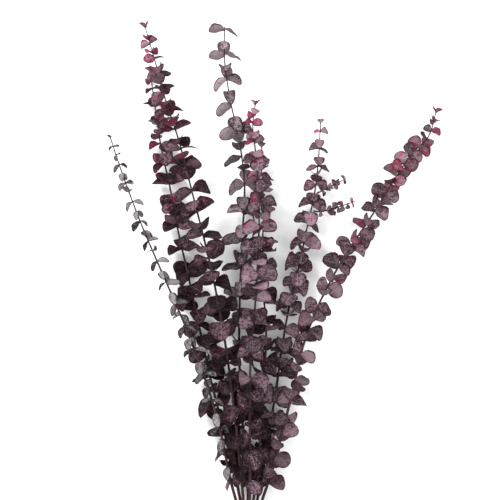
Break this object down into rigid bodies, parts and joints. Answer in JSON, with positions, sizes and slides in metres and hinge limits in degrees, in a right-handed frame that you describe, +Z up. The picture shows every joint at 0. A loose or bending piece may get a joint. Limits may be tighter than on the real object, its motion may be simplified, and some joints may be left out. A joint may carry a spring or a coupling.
{
  "type": "bunch of dried eucalyptus",
  "caption": "Long dried eucalyptus sprigs with round, plum-dyed leaves in opposite pairs, tied near the cut ends and fanned out, lying on a surface.",
  "frame": {"origin": "middle of the bunch's footprint, on the surface that it lies on", "axes": "+Y from the cut stem ends towards the tips, +Z up from the surface, +X to the right as seen from above with the tips away from the viewer"},
  "size_m": [0.376, 0.6296, 0.0729],
  "materials": {
    "bark": "matt dark brown bark",
    "twine": "matt natural jute",
    "left_thin_leaf": "matt dyed leaf with fine stipple and darker edges",
    "left_inner_leaf": "matt dyed leaf with fine stipple and darker edges",
    "left_tall_leaf": "matt dyed leaf with fine stipple and darker edges",
    "centre_tall_leaf": "matt dyed leaf with fine stipple and darker edges",
    "centre_red_leaf": "matt dyed leaf with fine stipple and darker edges",
    "centre_short_leaf": "matt dyed leaf with fine stipple and darker edges",
    "right_upright_leaf": "matt dyed leaf with fine stipple and darker edges",
    "far_right_leaf": "matt dyed leaf with fine stipple and darker edges",
    "upper_twig_leaf": "matt dyed leaf with fine stipple and darker edges",
    "lower_twig_leaf": "matt dyed leaf with fine stipple and darker edges"
  },
  "bodies": {
    "root": {"centre_red_leaves_1": "centre_red_leaf", "centre_red_leaves_2": "centre_red_leaf", "centre_red_leaves_3": "centre_red_leaf", "centre_red_leaves_4": "centre_red_leaf", "centre_red_leaves_5": "centre_red_leaf", "centre_red_stem": "bark", "centre_short_leaves_1": "centre_short_leaf", "centre_short_leaves_2": "centre_short_leaf", "centre_short_leaves_3": "centre_short_leaf", "centre_short_leaves_4": "centre_short_leaf", "centre_short_leaves_5": "centre_short_leaf", "centre_short_stem": "bark", "centre_tall_leaves_1": "centre_tall_leaf", "centre_tall_leaves_2": "centre_tall_leaf", "centre_tall_leaves_3": "centre_tall_leaf", "centre_tall_leaves_4": "centre_tall_leaf", "centre_tall_leaves_5": "centre_tall_leaf", "centre_tall_stem": "bark", "far_right_leaves_1": "far_right_leaf", "far_right_leaves_2": "far_right_leaf", "far_right_leaves_3": "far_right_leaf", "far_right_leaves_4": "far_right_leaf", "far_right_leaves_5": "far_right_leaf", "far_right_stem": "bark", "left_inner_leaves_1": "left_inner_leaf", "left_inner_leaves_2": "left_inner_leaf", "left_inner_leaves_3": "left_inner_leaf", "left_inner_leaves_4": "left_inner_leaf", "left_inner_leaves_5": "left_inner_leaf", "left_inner_stem": "bark", "left_tall_leaves_1": "left_tall_leaf", "left_tall_leaves_2": "left_tall_leaf", "left_tall_leaves_3": "left_tall_leaf", "left_tall_leaves_4": "left_tall_leaf", "left_tall_leaves_5": "left_tall_leaf", "left_tall_stem": "bark", "left_thin_leaves_1": "left_thin_leaf", "left_thin_leaves_2": "left_thin_leaf", "left_thin_leaves_3": "left_thin_leaf", "left_thin_leaves_4": "left_thin_leaf", "left_thin_leaves_5": "left_thin_leaf", "left_thin_stem": "bark", "right_upright_leaves_1": "right_upright_leaf", "right_upright_leaves_2": "right_upright_leaf", "right_upright_leaves_3": "right_upright_leaf", "right_upright_leaves_4": "right_upright_leaf", "right_upright_leaves_5": "right_upright_leaf", "right_upright_lower_twig_leaves": "lower_twig_leaf", "right_upright_lower_twig_stem": "bark", "right_upright_stem": "bark", "right_upright_upper_twig_leaves": "upper_twig_leaf", "right_upright_upper_twig_stem": "bark", "twine_binding": "twine"}
  },
  "joints": []
}
